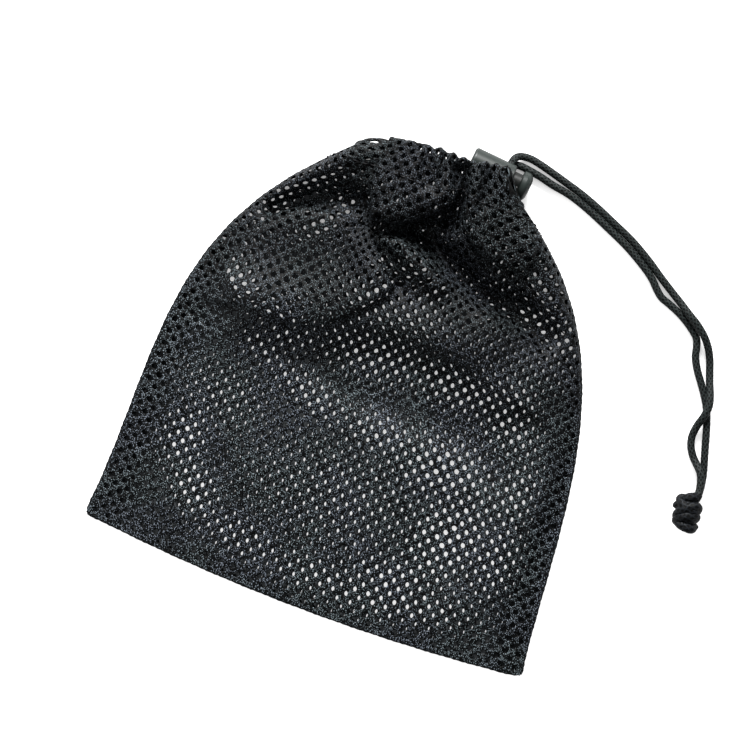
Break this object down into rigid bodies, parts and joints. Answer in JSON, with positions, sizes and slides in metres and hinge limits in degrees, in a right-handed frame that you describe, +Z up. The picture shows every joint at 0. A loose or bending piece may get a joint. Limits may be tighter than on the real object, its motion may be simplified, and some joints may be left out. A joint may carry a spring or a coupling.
{
  "type": "drawstring mesh bag",
  "caption": "Small black mesh drawstring ball bag, empty and lying flat, mouth drawn closed, with a spring cord lock and a knotted double drawcord.",
  "frame": {"origin": "the middle of the line between the two bottom corners, on the bag's underside", "axes": "+X along the bottom seam, +Y from the bottom seam to the mouth, +Z up, out of the surface the bag lies on"},
  "size_m": [0.2329, 0.2023, 0.0169],
  "materials": {
    "mesh_cloth": "charcoal black polyester warp knit with round holes, soft sheen on the yarns",
    "cord": "black braided polyester cord, matt with a faint green tint",
    "thread": "black polyester sewing thread",
    "lock_plastic": "dark grey moulded plastic with a satin surface",
    "spring_steel": "bright drawn spring wire"
  },
  "bodies": {
    "bag": {"front_panel": "mesh_cloth", "back_panel": "mesh_cloth", "front_casing": "mesh_cloth", "back_casing": "mesh_cloth", "bottom_seam_thread": "thread", "left_seam_thread": "thread", "right_seam_thread": "thread", "front_casing_thread": "thread", "back_casing_thread": "thread", "exit_bartacks": "thread", "drawcord_loop": "cord", "drawcord_leads": "cord", "cord_strand_a": "cord", "cord_strand_b": "cord", "cord_knot": "cord", "cord_tails": "cord"},
    "lock": {"lock_barrel": "lock_plastic", "lock_spring": "spring_steel"},
    "plunger": {"lock_plunger": "lock_plastic"}
  },
  "joints": [
    {"name": "lock_slide", "type": "slide", "parent": "bag", "child": "lock", "axis": [0.0872, 0.9962, 0], "range_m": [0, 0.01], "deforming": ["drawcord_leads", "cord_strand_a", "cord_strand_b"]},
    {"name": "plunger_press", "type": "slide", "parent": "lock", "child": "plunger", "axis": [-0.9962, 0.0872, 0], "range_m": [0, 0.003], "stiffness_N_per_m": 1000, "springref_m": -0.003, "deforming": ["lock_spring"]}
  ]
}
